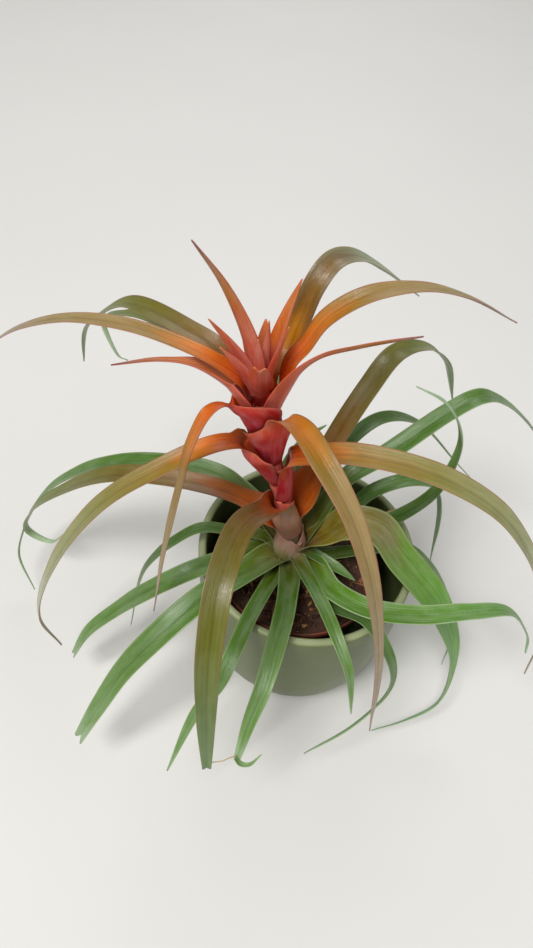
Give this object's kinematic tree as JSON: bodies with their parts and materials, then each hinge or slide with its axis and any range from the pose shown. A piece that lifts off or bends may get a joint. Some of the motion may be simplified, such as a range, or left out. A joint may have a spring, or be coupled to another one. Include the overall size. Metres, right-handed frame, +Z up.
{
  "type": "potted air plant",
  "caption": "Flowering bromeliad air plant in a glazed pot, with arching strap leaves and an upright spike of red bracts that run out into long leaves.",
  "frame": {"origin": "centre of the cover pot's flat foot, on the surface that the pot stands on", "axes": "+Z up along the pot's axis; -Y is the front, towards the viewer; the flower spike leans towards -X"},
  "size_m": [0.4003, 0.2563, 0.3143],
  "materials": {
    "pot_glaze": "sage green satin glaze over stoneware",
    "pot_plastic": "thin brown moulded plastic",
    "bark_mix": "damp bark chips and fibre",
    "stem_skin": "living leaf bases, stands in for plant tissue",
    "stalk_skin": "satin flower stalk, stands in for plant tissue",
    "green_leaf": "satin leaf skin with fine scales",
    "olive_leaf": "satin olive leaf skin with a scurfy sheen",
    "orange_bract": "satin bract skin, orange running out to olive",
    "red_bract": "satin coral red bract skin",
    "dry_leaf": "dry papery leaf"
  },
  "bodies": {
    "root": {"cover_pot": "pot_glaze", "nursery_pot": "pot_plastic", "potting_mix": "bark_mix", "rosette_stem": "stem_skin", "flower_stalk": "stalk_skin", "flower_head": "red_bract", "dry_straw": "dry_leaf", "leaf_front_right_under": "green_leaf", "leaf_right_narrow": "green_leaf", "leaf_back_hidden": "green_leaf", "leaf_back_left_low": "green_leaf", "leaf_left_short": "green_leaf", "leaf_front_left_thin": "green_leaf", "leaf_front": "green_leaf", "leaf_right_level": "green_leaf", "leaf_right_back_low": "green_leaf", "leaf_back_tip_up": "green_leaf", "leaf_left_thin": "green_leaf", "leaf_front_left_broad": "green_leaf", "leaf_front_right_small": "green_leaf", "leaf_right_upcurled": "green_leaf", "leaf_back_right_thin": "green_leaf", "leaf_left_back_long": "green_leaf", "leaf_inner_right": "green_leaf", "leaf_right_broad": "green_leaf", "leaf_back_right_high": "green_leaf", "stem_leaf_left": "olive_leaf", "stem_leaf_back_right": "olive_leaf", "stem_leaf_front": "olive_leaf", "bract_leaf_left_low": "orange_bract", "bract_leaf_right_low": "orange_bract", "bract_leaf_front": "orange_bract", "bract_leaf_back_left_low": "olive_leaf", "bract_leaf_front_left": "orange_bract", "bract_leaf_back": "olive_leaf", "bract_leaf_left_short": "red_bract", "bract_leaf_back_left": "olive_leaf", "bract_leaf_right_short": "red_bract", "bract_leaf_left_high": "orange_bract", "bract_leaf_right_high": "orange_bract", "bract_leaf_back_right": "olive_leaf"}
  },
  "joints": []
}
